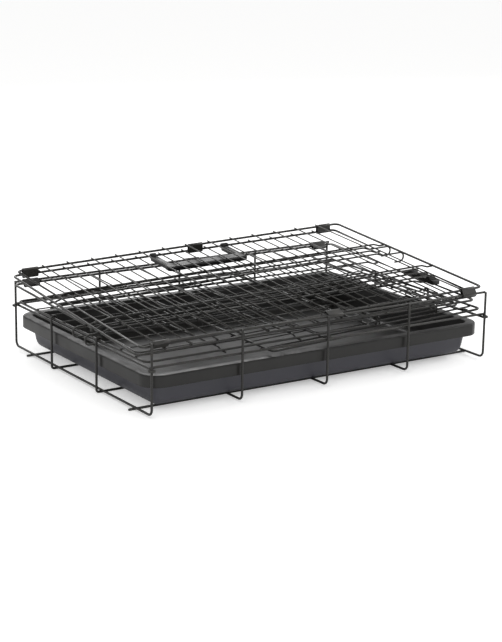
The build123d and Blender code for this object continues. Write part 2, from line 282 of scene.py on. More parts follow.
def new_group(
    name: str, inputs: dict[str, float], outputs: Iterable[str]
) -> tuple[Graph, bpy.types.Node, bpy.types.Node]:
    """Start a shader node group.

    Args:
        name: the group's name.
        inputs: names and default values of its number inputs.
        outputs: names of its number outputs.

    Returns:
        The graph of its tree, its input node and its output node.
    """
    tree = bpy.data.node_groups.new(name, "ShaderNodeTree")
    for label, value in inputs.items():
        socket = tree.interface.new_socket(name=label, in_out="INPUT", socket_type="NodeSocketFloat")
        socket.default_value = value
    for label in outputs:
        tree.interface.new_socket(name=label, in_out="OUTPUT", socket_type="NodeSocketFloat")
    graph = Graph(tree)
    return graph, graph.add("NodeGroupInput"), graph.add("NodeGroupOutput")


class SharedEffects:
    """Node groups that more than one finish uses."""

    def __init__(self) -> None:
        """Build each group once."""
        self.wear = self._edge_wear()
        self.grain = self._grain()
        self.dust = self._dust()

    def _edge_wear(self) -> bpy.types.NodeTree:
        """Return a mask of rubbed edges and ends.

        Returns:
            The node group.
        """
        graph, given, out = new_group("edge_wear", {"Amount": 0.5, "Breakup": 900.0}, ["Mask"])
        shape = graph.add("ShaderNodeNewGeometry")
        at = graph.add("ShaderNodeTexCoord").outputs["Object"]
        spots = graph.add("ShaderNodeTexNoise", Vector=at, Scale=given.outputs["Breakup"], Detail=5.0)
        edge = graph.ramp(shape.outputs["Pointiness"], low=0.52, high=0.62)
        broken = graph.ramp(spots.outputs["Fac"], low=0.45, high=0.7)
        graph.feed(out.inputs["Mask"], graph.product(edge, broken, given.outputs["Amount"]))
        return graph.tree

    def _grain(self) -> bpy.types.NodeTree:
        """Return a fine surface height and a slow cloudiness.

        Returns:
            The node group.
        """
        graph, given, out = new_group("fine_grain", {"Scale": 1500.0, "Clouds": 30.0}, ["Height", "Cloud"])
        at = graph.add("ShaderNodeTexCoord").outputs["Object"]
        scale = given.outputs["Scale"]
        fine = graph.add("ShaderNodeTexNoise", Vector=at, Scale=scale, Detail=4.0)
        pores = graph.add("ShaderNodeTexVoronoi", Vector=at, Scale=scale)
        clouds = graph.add("ShaderNodeTexNoise", Vector=at, Scale=given.outputs["Clouds"], Detail=6.0)
        pore_share = 0.4
        pits = graph.math("MULTIPLY", pores.outputs["Distance"], pore_share)
        graph.feed(out.inputs["Height"], graph.math("ADD", fine.outputs["Fac"], pits))
        graph.feed(out.inputs["Cloud"], graph.ramp(clouds.outputs["Fac"], low=0.35, high=0.68))
        return graph.tree

    def _dust(self) -> bpy.types.NodeTree:
        """Return a mask of dust that lies on faces that look up.

        Returns:
            The node group.
        """
        graph, given, out = new_group("settled_dust", {"Amount": 0.2, "Scale": 60.0}, ["Mask"])
        shape = graph.add("ShaderNodeNewGeometry")
        at = graph.add("ShaderNodeTexCoord").outputs["Object"]
        parts = graph.add("ShaderNodeSeparateXYZ", Vector=shape.outputs["Normal"])
        patches = graph.add("ShaderNodeTexNoise", Vector=at, Scale=given.outputs["Scale"], Detail=8.0)
        up = graph.ramp(parts.outputs["Z"], low=0.35, high=1.0)
        loose = graph.ramp(patches.outputs["Fac"], low=0.42, high=0.75)
        graph.feed(out.inputs["Mask"], graph.product(up, loose, given.outputs["Amount"]))
        return graph.tree


@dataclass(frozen=True)
class Finish:
    """One surface finish, from which a material is made."""

    name: str
    base: Tint
    pale: Tint
    worn: Tint
    roughness: tuple[float, float]
    grain_scale: float
    grain_depth: float
    wear: float
    dust: float
    metallic: float = 0.0
    coat: float = 0.0
    # Painted reflection of the white floor on the lower outer walls: its colour, the height it reaches and
    # the fade below that height, in millimetres
    under: Tint | None = None
    reflection_top: float = 0.0
    reflection_fade: float = 1.5
    dust_dulls: float = 0.4
    coat_roughness: float = 0.3
    bump: float = 0.35

    def floor_reflection_mask(self, graph: Graph) -> bpy.types.NodeSocket:
        """Return a mask of outer walls that lean outward over the floor, below a height. These walls get the
        painted reflection of the floor.

        Args:
            graph: the material's nodes.

        Returns:
            The mask, 1 on those walls.
        """
        shape = graph.add("ShaderNodeNewGeometry")
        place = graph.add("ShaderNodeTexCoord")
        facing = graph.add("ShaderNodeSeparateXYZ", Vector=shape.outputs["Normal"])
        height = graph.add("ShaderNodeSeparateXYZ", Vector=place.outputs["Object"])
        leaning = graph.ramp(facing.outputs["Z"], low=-0.08, high=0.0, to_low=1.0, to_high=0.0)
        top = self.reflection_top * MM
        below = graph.ramp(height.outputs["Z"], top - self.reflection_fade * MM, top, to_low=1.0, to_high=0.0)
        return graph.product(leaning, below)

    def material(self, effects: SharedEffects) -> bpy.types.Material:
        """Make the material.

        Args:
            effects: the shared node groups.

        Returns:
            The new material.
        """
        made = bpy.data.materials.new(self.name)
        made.use_nodes = True
        graph = Graph(made.node_tree)
        shader = next(n for n in made.node_tree.nodes if n.type == "BSDF_PRINCIPLED")
        grain = graph.add("ShaderNodeGroup", {"node_tree": effects.grain}, Scale=self.grain_scale)
        wear = graph.add("ShaderNodeGroup", {"node_tree": effects.wear}, Amount=self.wear)
        dust = graph.add("ShaderNodeGroup", {"node_tree": effects.dust}, Amount=self.dust)
        body = graph.mix(grain.outputs["Cloud"], self.base.value, self.pale.value)
        # Painted reflection: the lower walls that face the floor get a paler blue-grey in place of the white
        # floor they would reflect
        if self.under:
            body = graph.mix(self.floor_reflection_mask(graph), body, self.under.value)
        dusty = graph.mix(dust.outputs["Mask"], body, Tint.DUST.value)
        graph.feed(shader.inputs["Base Color"], graph.mix(wear.outputs["Mask"], dusty, self.worn.value))
        low, high = self.roughness
        rough = graph.ramp(grain.outputs["Cloud"], 0.0, 1.0, low, high)
        dulled = graph.math("MULTIPLY", dust.outputs["Mask"], self.dust_dulls)
        graph.feed(shader.inputs["Roughness"], graph.math("ADD", rough, dulled, clamp=True))
        if self.metallic > 0:
            graph.feed(shader.inputs["Metallic"], graph.product(wear.outputs["Mask"], self.metallic))
        shader.inputs["Coat Weight"].default_value = self.coat
        shader.inputs["Coat Roughness"].default_value = self.coat_roughness
        depth = self.grain_depth * MM
        bump = graph.add("ShaderNodeBump", Strength=self.bump, Distance=depth, Height=grain.outputs["Height"])
        graph.feed(shader.inputs["Normal"], bump.outputs["Normal"])
        return made


COATED_WIRE = Finish(
    name="coated_wire",
    base=Tint.COATING,
    pale=Tint.COATING_DUSTY,
    worn=Tint.BARE_STEEL,
    roughness=(0.34, 0.5),
    grain_scale=2600.0,
    grain_depth=0.05,
    wear=0.35,
    dust=0.22,
    metallic=0.9,
    coat=0.15,
)
COATED_SHEET = Finish(
    name="coated_sheet",
    base=Tint.COATING,
    pale=Tint.COATING_DUSTY,
    worn=Tint.BARE_STEEL,
    roughness=(0.3, 0.46),
    grain_scale=2200.0,
    grain_depth=0.05,
    wear=0.6,
    dust=0.2,
    metallic=0.9,
    coat=0.2,
)
PAN_MOULDING = Finish(
    name="pan_moulding",
    base=Tint.PAN,
    pale=Tint.PAN_PALE,
    worn=Tint.PAN_PALE,
    roughness=(0.3, 0.42),
    grain_scale=1700.0,
    grain_depth=0.012,
    wear=0.5,
    dust=0.05,
    # Painted reflection of the floor on the pan's lower walls, up to 42.8 mm
    under=Tint.PAN_FLOOR_REFLECTION,
    reflection_top=42.8,
)
GRIP_MOULDING = Finish(
    name="grip_moulding",
    base=Tint.GRIP,
    pale=Tint.PAN,
    worn=Tint.PAN_PALE,
    roughness=(0.34, 0.5),
    grain_scale=2000.0,
    grain_depth=0.07,
    wear=0.5,
    dust=0.15,
)


@dataclass
class Wire:
    """One wire along a bent middle line."""

    points: list[Point]
    stock: Stock
    bend: float = 5.0
    closed: bool = False
    steps: int = 7
    sides: int = 14

    def middle(self) -> list[Vector]:
        """Return the middle line with round bends.

        Returns:
            Its points, in millimetres.
        """
        raw = [Vector(p) for p in self.points]
        count = len(raw)
        line: list[Vector] = []
        for i, corner in enumerate(raw):
            if not self.closed and i in (0, count - 1):
                line.append(corner)
                continue
            before = raw[i - 1] - corner
            after = raw[(i + 1) % count] - corner
            inside = before.angle(after)
            reach = self.bend / math.tan(inside / 2)
            halfway = (before.normalized() + after.normalized()).normalized()
            centre = corner + halfway * (self.bend / math.sin(inside / 2))
            start = corner + before.normalized() * reach - centre
            end = corner + after.normalized() * reach - centre
            total = start.angle(end)
            used = max(2, round(self.steps * total / (math.pi / 2)) + 1)
            for k in range(used + 1):
                share = k / used
                line.append(centre + start.slerp(end, share).normalized() * self.bend)
        return line

    def build(self, mesh: bmesh.types.BMesh, place: Matrix) -> None:
        """Add the wire's tube to a mesh.

        Args:
            mesh: the mesh to add to.
            place: where the wire's own frame lies, in millimetres.
        """
        line = [place @ p for p in self.middle()]
        tube(mesh, line, self.stock.radius, self.sides, self.closed)


def arc(centre: FlatPoint, radius: float, start: float, sweep: float, step: float = 12.0) -> list[FlatPoint]:
    """Return points on a flat arc.

    Args:
        centre: the arc's centre.
        radius: its radius.
        start: the angle of its first point, in degrees.
        sweep: the angle it covers, in degrees.
        step: the most degrees between two points.

    Returns:
        The points, first and last included.
    """
    count = max(1, math.ceil(abs(sweep) / step))
    angles = [math.radians(start + sweep * i / count) for i in range(count + 1)]
    return [(centre[0] + radius * math.cos(a), centre[1] + radius * math.sin(a)) for a in angles]


def ring(centre: Vector, side: Vector, up: Vector, radius: float, sides: int) -> list[Vector]:
    """Return the corners of one ring round a wire, in metres."""
    angles = [2 * math.pi * i / sides for i in range(sides)]
    return [(centre + side * (radius * math.cos(a)) + up * (radius * math.sin(a))) * MM for a in angles]


def tube(mesh: bmesh.types.BMesh, line: list[Vector], radius: float, sides: int, closed: bool) -> None:
    """Add a round tube along a line, with cut ends that are slightly rounded.

    Args:
        mesh: the mesh to add to.
        line: the middle line, in millimetres.
        radius: the tube's radius, in millimetres.
        sides: corners round the tube.
        closed: whether the line runs round to its start.
    """
    count = len(line)
    along = []
    for i in range(count):
        before = line[i] - line[i - 1] if closed or i > 0 else line[1] - line[0]
        after = line[(i + 1) % count] - line[i] if closed or i < count - 1 else line[-1] - line[-2]
        along.append((before.normalized() + after.normalized()).normalized())
    side = along[0].orthogonal().normalized()
    rings = []
    round_off = END_ROUND * radius
    for i, (point, forward) in enumerate(zip(line, along)):
        side = (side - forward * side.dot(forward)).normalized()
        up = forward.cross(side)
        if not closed and i == 0:
            rings.append(ring(point, side, up, radius * END_FACE, sides))
            point = point + forward * round_off
        if not closed and i == count - 1:
            rings.append(ring(point - forward * round_off, side, up, radius, sides))
            rings.append(ring(point, side, up, radius * END_FACE, sides))
            continue
        rings.append(ring(point, side, up, radius, sides))
    made = [[mesh.verts.new(p) for p in corners] for corners in rings]
    total = len(made)
    for i in range(total if closed else total - 1):
        first, second = made[i], made[(i + 1) % total]
        offset = 0
        if closed and i == total - 1:
            offset = min(range(sides), key=lambda k: (second[k].co - first[0].co).length)
        for k in range(sides):
            nearby = (second[(k + 1 + offset) % sides], second[(k + offset) % sides])
            mesh.faces.new((first[k], first[(k + 1) % sides], *nearby))
    if not closed:
        mesh.faces.new(reversed(made[0]))
        mesh.faces.new(made[-1])


@dataclass
class Weld:
    """A small flattened bead where two wires are welded."""

    at: Point
    across: float = 1.35
    tall: float = 0.75
    ripple: float = 0.16

    def build(self, mesh: bmesh.types.BMesh, place: Matrix) -> None:
        """Add the bead to a mesh.

        Args:
            mesh: the mesh to add to.
            place: where the bead's own frame lies, in millimetres.
        """
        uneven = 1 + self.ripple * math.sin(self.at[0] * 1.7 + self.at[1] * 2.3)
        size = Matrix.Diagonal((self.across * uneven, self.across, self.tall, 1))
        whole = Matrix.Diagonal((MM, MM, MM, 1)) @ place @ shift(*self.at) @ size
        bmesh.ops.create_icosphere(mesh, subdivisions=2, radius=1.0, matrix=whole)


@dataclass
class Piece:
    """A shown piece that stands for one CAD node."""

    node: str
    body: str
    slot: str
    parts: list[Wire | Weld] = field(default_factory=list)
    place: Matrix = field(default_factory=lambda: HOME.copy())

    def make(self, material: bpy.types.Material) -> bpy.types.Object:
        """Build the mesh, dress it and set it on its body.

        Args:
            material: the piece's material.

        Returns:
            The new object.
        """
        mesh = bmesh.new()
        for part in self.parts:
            part.build(mesh, self.place)
        return dress(mesh, self.node, self.body, material)


def dress(
    mesh: bmesh.types.BMesh, node: str, body: str, material: bpy.types.Material
) -> bpy.types.Object:
    """Turn a mesh into a smooth piece that stands for a CAD node.

    Args:
        mesh: the finished mesh, which is freed.
        node: the CAD node it stands for.
        body: the CAD body it rides on.
        material: its material.

    Returns:
        The new object.
    """
    bmesh.ops.recalc_face_normals(mesh, faces=mesh.faces)
    data = bpy.data.meshes.new(node + "_shown")
    mesh.to_mesh(data)
    mesh.free()
    data.polygons.foreach_set("use_smooth", [True] * len(data.polygons))
    data.set_sharp_from_angle(angle=math.radians(50))
    data.materials.append(material)
    shown = bpy.data.objects.new(node + "_shown", data)
    bpy.context.scene.collection.objects.link(shown)
    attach(shown, body)
    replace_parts(shown, node)
    log.info("%s: %d faces on %s", shown.name, len(data.polygons), body)
    return shown


def jogged(y: float, length: float, inner_z: float, frame_z: float) -> list[Point]:
    """Return the points of a rail that steps past the frame at both ends.

    Args:
        y: where the rail crosses the panel.
        length: the panel's length.
        inner_z: the rail's height against the grid.
        frame_z: its height where it passes the frame.

    Returns:
        The rail's points.
    """
    return [
        (-RAIL_STUB, y, frame_z),
        (JOG_START, y, frame_z),
        (JOG_END, y, inner_z),
        (length - JOG_END, y, inner_z),
        (length - JOG_START, y, frame_z),
        (length + RAIL_STUB, y, frame_z),
    ]


@dataclass
class Panel:
    """A flat wire panel: a closed frame, two rails and a grid of thin wires."""

    prefix: str
    body: str
    place: Matrix
    length: float = PANEL_LENGTH
    depth: float = PANEL_DEPTH
    wires: int = 13
    pitch: float = 45.0
    low_stub: float = 3.0
    high_stub: float = 3.0

    @property
    def grid_xs(self) -> list[float]:
        """Where the thin wires stand along the panel."""
        start = (self.length - self.pitch * (self.wires - 1)) / 2
        return [start + self.pitch * i for i in range(self.wires)]

    @property
    def rail_ys(self) -> tuple[float, float]:
        """Where the two rails cross the panel."""
        return self.depth / 3, self.depth * 2 / 3

    def frame_piece(self) -> Piece:
        """Return the panel's outer frame.

        Returns:
            The frame as one piece.
        """
        corners = [(0, 0, 0), (self.length, 0, 0), (self.length, self.depth, 0), (0, self.depth, 0)]
        outline = Wire(corners, Stock.HEAVY, CORNER, True)
        return Piece(self.prefix + "_frame", self.body, "black_wire", [outline], self.place)

    def rails_piece(self) -> Piece:
        """Return the two rails.

        Returns:
            The rails as one piece.
        """
        rails = [Wire(jogged(y, self.length, RAIL_IN_GRID, -BESIDE_FRAME), Stock.RAIL) for y in self.rail_ys]
        beads = [Weld((x, y, -Stock.HEAVY.radius)) for y in self.rail_ys for x in (0, self.length)]
        return Piece(self.prefix + "_rails", self.body, "black_wire", rails + beads, self.place)

    def grid_piece(self) -> Piece:
        """Return the thin wires with their welds.

        Returns:
            The thin wires as one piece.
        """
        parts: list[Wire | Weld] = []
        weld_z = OVER_FRAME - Stock.GRID.radius
        for x in self.grid_xs:
            ends = [(x, -self.low_stub, OVER_FRAME), (x, self.depth + self.high_stub, OVER_FRAME)]
            parts.append(Wire(ends, Stock.GRID, sides=12))
            parts.extend(Weld((x, y, weld_z)) for y in (0.0, *self.rail_ys, self.depth))
        return Piece(self.prefix + "_grid", self.body, "black_wire", parts, self.place)

    def pieces(self) -> list[Piece]:
        """Return every piece of the panel."""
        return [self.frame_piece(), self.rails_piece(), self.grid_piece()]


@dataclass
class TopPanel(Panel):
    """The top panel, with its four hook wires."""

    hook_apart: float = 38.0
    hook_radius: float = 8.0
    hook_return: float = 12.0
    hook_ease: float = 0.2
    out_right: float = 42.0
    out_left: float = 24.0

    def hooks_piece(self) -> Piece:
        """Return the hook wires at both ends.

        Returns:
            The four hook wires as one piece.
        """
        parts: list[Wire | Weld] = []
        for rail, out, turned in ((0, self.out_right, False), (1, self.out_left, True)):
            for offset in (-self.hook_apart / 2, self.hook_apart / 2):
                y = self.rail_ys[rail] + offset
                drop = -BESIDE_FRAME - 2 * self.hook_radius
                tip = Stock.RAIL.radius - out
                line = [
                    (self.length - Stock.HEAVY.radius - TOUCH, RAIL_IN_GRID),
                    (JOG_END, RAIL_IN_GRID),
                    (JOG_START, -BESIDE_FRAME),
                    (tip, -BESIDE_FRAME),
                    (tip, drop),
                    (self.hook_radius + self.hook_return - out, drop),
                ]
                points = [(self.length - x if turned else x, y, z) for x, z in line]
                parts.append(Wire(points, Stock.RAIL, self.hook_radius - self.hook_ease))
                parts.append(Weld((self.length if turned else 0, y, -Stock.HEAVY.radius)))
        return Piece("top_hook_wires", self.body, "black_wire", parts, self.place)

    def pieces(self) -> list[Piece]:
        """Return every piece of the panel."""
        return [*super().pieces(), self.hooks_piece()]


@dataclass
class DoorEnd(Panel):
    """The right end panel, with its doorway, door and slide bolts."""

    door_x: tuple[float, float] = (30.0, 280.0)
    door_y: tuple[float, float] = (30.0, 298.0)
    lap: float = 5.0
    door_wires: int = 5
    bolt_ys: tuple[float, float] = (70.0, 185.0)
    door_gap: float = 0.3
    door_stub: float = 1.0
    bolt_inset: float = 1.0
    bolt_length: float = 78.0
    bolt_pull: float = 15.0
    bolt_pull_back: float = 26.0
    bolt_clear: float = 0.3
    bolt_bend: float = 4.0
    keeper_clear: float = 0.8
    keeper_bend: float = 2.0

    @property
    def jamb_z(self) -> float:
        """Height of the wires beside the doorway."""
        return -BESIDE_FRAME

    @property
    def sill_z(self) -> float:
        """Height of the wires over and under the doorway."""
        return self.jamb_z + Stock.RAIL.value + TOUCH

    @property
    def door_grid_z(self) -> float:
        """Height of the door's thin wires."""
        return self.sill_z + Stock.RAIL.radius + Stock.GRID.radius + self.door_gap

    @property
    def door_z(self) -> float:
        """Height of the door's frame."""
        return self.door_grid_z + Stock.RAIL.radius + Stock.GRID.radius + TOUCH

    @property
    def door_pitch(self) -> float:
        """Step between the door's thin wires."""
        return (self.door_x[1] - self.door_x[0]) / (self.door_wires + 1)

    @property
    def door_xs(self) -> list[float]:
        """Where the door's thin wires stand."""
        return [self.door_x[0] + self.door_pitch * (i + 1) for i in range(self.door_wires)]

    def rails_piece(self) -> Piece:
        """Return the wires over and under the doorway.

        Returns:
            The two wires as one piece.
        """
        rails = [Wire(jogged(y, self.length, self.sill_z, BESIDE_FRAME), Stock.RAIL) for y in self.door_y]
        beads = [Weld((x, y, Stock.HEAVY.radius)) for y in self.door_y for x in (0, self.length)]
        return Piece("right_end_rails", self.body, "black_wire", rails + beads, self.place)

    def jambs_piece(self) -> Piece:
        """Return the wires at both sides of the doorway.

        Returns:
            The two wires as one piece.
        """
        parts: list[Wire | Weld] = []
        for x in self.door_x:
            ends = [(x, -self.low_stub, self.jamb_z), (x, self.depth + self.high_stub, self.jamb_z)]
            parts.append(Wire(ends, Stock.RAIL))
            parts.extend(Weld((x, y, -Stock.HEAVY.radius)) for y in (0, self.depth))
            parts.extend(Weld((x, y, (self.jamb_z + self.sill_z) / 2)) for y in self.door_y)
        return Piece("right_end_jambs", self.body, "black_wire", parts, self.place)

    def grid_piece(self) -> Piece:
        """Return the thin wires beside, over and under the doorway.

        Returns:
            The thin wires as one piece.
        """
        foot, head = -self.low_stub, self.depth + self.high_stub
        runs = [(self.door_x[1] + self.door_pitch * i, foot, head) for i in (1, 2)]
        runs += [(x, foot, self.door_y[0] + self.high_stub) for x in self.door_xs]
        runs += [(x, self.door_y[1] - self.low_stub, head) for x in self.door_xs]
        parts: list[Wire | Weld] = []
        for x, low, high in runs:
            parts.append(Wire([(x, low, -OVER_FRAME), (x, high, -OVER_FRAME)], Stock.GRID, sides=12))
            for y in (0.0, *self.door_y, self.depth):
                if low < y < high:
                    parts.append(Weld((x, y, -OVER_FRAME + Stock.GRID.radius)))
        return Piece("right_end_grid", self.body, "black_wire", parts, self.place)

    def door_pieces(self) -> list[Piece]:
        """Return the door's frame, rails and grid.

        Returns:
            Three pieces of the door.
        """
        x0, x1 = self.door_x[0] - self.lap, self.door_x[1] + self.lap
        y0, y1 = self.door_y[0] - self.lap, self.door_y[1] + self.lap
        z = self.door_z
        end = Stock.RAIL.radius + TOUCH
        outline = Wire([(x0, y0, z), (x1, y0, z), (x1, y1, z), (x0, y1, z)], Stock.RAIL, CORNER, True)
        rails: list[Wire | Weld] = []
        for y in self.bolt_ys:
            rails.append(Wire([(x0 + end, y, z), (x1 - end, y, z)], Stock.RAIL))
            rails.extend(Weld((x, y, z)) for x in (x0 + end, x1 - end))
        grid: list[Wire | Weld] = []
        for x in self.door_xs:
            ends = [(x, y, self.door_grid_z) for y in (y0 - self.door_stub, y1 + self.door_stub)]
            grid.append(Wire(ends, Stock.GRID, sides=12))
            between = self.door_grid_z + Stock.GRID.radius
            grid.extend(Weld((x, y, between)) for y in (y0, *self.bolt_ys, y1))
        return [
            Piece("door_frame", "door", "black_wire", [outline], self.place),
            Piece("door_rails", "door", "black_wire", rails, self.place),
            Piece("door_grid", "door", "black_wire", grid, self.place),
        ]

    def bolt_pieces(self) -> list[Piece]:
        """Return the two slide bolts and their keepers.

        Returns:
            The bolts, then the keepers as one piece.
        """
        bolt_z = self.door_z + Stock.RAIL.value + TOUCH + SHEET + self.bolt_clear
        start = self.door_x[0] - self.lap + self.bolt_inset
        pull = start + self.bolt_length
        bolts = []
        keepers: list[Wire | Weld] = []
        out = Stock.RAIL.radius + self.keeper_clear + Stock.GRID.radius
        foot, head = self.jamb_z + Stock.RAIL.radius + TOUCH, bolt_z + out
        x = self.door_x[0]
        for name, y in zip(("lower_slide_bolt", "upper_slide_bolt"), self.bolt_ys):
            beside = y + self.bolt_pull
            outline = [(start, y), (pull, y), (pull, beside), (pull - self.bolt_pull_back, beside)]
            points = [(across, along, bolt_z) for across, along in outline]
            bolt = Wire(points, Stock.RAIL, self.bolt_bend)
            bolts.append(Piece(name, name, "black_wire", [bolt], self.place))
            staple = [(x, y - out, foot), (x, y - out, head), (x, y + out, head), (x, y + out, foot)]
            keepers.append(Wire(staple, Stock.GRID, self.keeper_bend, sides=12))
            keepers.extend(Weld((x, y + side, foot)) for side in (-out, out))
        return [*bolts, Piece("bolt_keepers", self.body, "black_wire", keepers, self.place)]

    def pieces(self) -> list[Piece]:
        """Return every piece of the end panel and its door."""
        fixed = [self.frame_piece(), self.rails_piece(), self.jambs_piece(), self.grid_piece()]
        return [*fixed, *self.door_pieces(), *self.bolt_pieces()]


@dataclass
class Base:
    """The wire base tray."""

    crosses: int = 5
    floor_inset: float = 54.0
    floor_stub: float = 8.0
    end_ys: tuple[float, float] = (155.0, 302.0)
    side_rail_z: float = 77.2
    end_bend: float = 4.2
    over_top: float = 1.0
    eye_clear: float = 0.35
    eye_start: float = -20.0
    eye_sweep: float = 200.0
    end_rail_gap: float = 10 * TOUCH
    body: str = "base"

    def cross_xs(self) -> list[float]:
        """Return where the cross wires stand."""
        return [BASE_LENGTH * i / (self.crosses - 1) for i in range(self.crosses)]

    def cross_piece(self) -> Piece:
        """Return the U-shaped cross wires with their welds.

        Returns:
            The cross wires as one piece.
        """
        parts: list[Wire | Weld] = []
        top = TOP_Z + self.over_top
        floor_ys = (self.floor_inset, BASE_WIDTH - self.floor_inset)
        for x in self.cross_xs():
            points = [(x, 0, top), (x, 0, CROSS_Z), (x, BASE_WIDTH, CROSS_Z), (x, BASE_WIDTH, top)]
            parts.append(Wire(points, Stock.HEAVY, CORNER))
            for y, inward in ((0, 1), (BASE_WIDTH, -1)):
                at_y = y + inward * Stock.HEAVY.radius
                parts.extend(Weld((x, at_y, z), across=1.5, tall=1.5) for z in (self.side_rail_z, TOP_Z))
            parts.extend(Weld((x, y, Stock.HEAVY.value), across=1.7, tall=0.8) for y in floor_ys)
        return Piece("base_cross_wires", self.body, "black_wire", parts)

    def floor_piece(self) -> Piece:
        """Return the two long floor wires.

        Returns:
            The floor wires as one piece.
        """
        r = Stock.HEAVY.radius
        ys = (self.floor_inset, BASE_WIDTH - self.floor_inset)
        far = BASE_LENGTH + self.floor_stub
        wires = [Wire([(-self.floor_stub, y, r), (far, y, r)], Stock.HEAVY) for y in ys]
        return Piece("base_floor_wires", self.body, "black_wire", wires)

    def end_piece(self) -> Piece:
        """Return the end wires with the eyes that the end panels turn in.

        Returns:
            The end wires as one piece.
        """
        r = Stock.HEAVY.radius
        eye = Stock.HEAVY.value + self.eye_clear
        near = -END_HINGE_OUT - eye
        far = BASE_LENGTH - near
        bend_z = r + self.end_bend
        outline = arc((near + eye, END_HINGE_Z), eye, self.eye_start, self.eye_sweep)
        outline += arc((near + self.end_bend, bend_z), self.end_bend, 180, 90)
        outline += arc((far - self.end_bend, bend_z), self.end_bend, 270, 90)
        outline += arc((far - eye, END_HINGE_Z), eye, 0, self.eye_sweep)
        parts: list[Wire | Weld] = [Bow([(x, y, z) for x, z in outline], Stock.HEAVY) for y in self.end_ys]
        return Piece("base_end_wires", self.body, "black_wire", parts)

    def rail_pieces(self) -> list[Piece]:
        """Return the front and rear top rails and the side rails.

        Returns:
            Three pieces.
        """
        r = Stock.HEAVY.radius

        def rail(y: float, z: float) -> Wire:
            """Return one straight rail."""
            return Wire([(-r, y, z), (BASE_LENGTH + r, y, z)], Stock.HEAVY)

        rear = BASE_WIDTH - RAIL_Y
        side_rails = [rail(RAIL_Y, self.side_rail_z), rail(rear, self.side_rail_z)]
        return [
            Piece("base_front_rail", self.body, "black_wire", [rail(RAIL_Y, TOP_Z)]),
            Piece("base_rear_rail", self.body, "black_wire", [rail(rear, TOP_Z)]),
            Piece("base_side_rails", self.body, "black_wire", side_rails),
        ]

    def end_rail_piece(self) -> Piece:
        """Return the end rails, which wrap round the corner wires.

        Returns:
            Both end rails as one piece.
        """
        out = Stock.HEAVY.value + self.end_rail_gap
        z = self.side_rail_z - Stock.HEAVY.value - TOUCH
        parts: list[Wire | Weld] = []
        for corner, side in ((0.0, 1), (BASE_LENGTH, -1)):
            line = arc((corner, 0), out, 90, side * 270)
            line += arc((corner, BASE_WIDTH), out, 90 - side * 90, side * 270)
            parts.append(Bow([(x, y, z) for x, y in line], Stock.HEAVY))
        return Piece("base_end_rails", self.body, "black_wire", parts)

    def pieces(self) -> list[Piece]:
        """Return every piece of the base."""
        floor = [self.cross_piece(), self.floor_piece(), self.end_piece()]
        return [*floor, *self.rail_pieces(), self.end_rail_piece()]


@dataclass
class Bow(Wire):
    """A wire whose points already follow its bends."""

    def middle(self) -> list[Vector]:
        """Return the middle line as it is given."""
        return [Vector(p) for p in self.points]


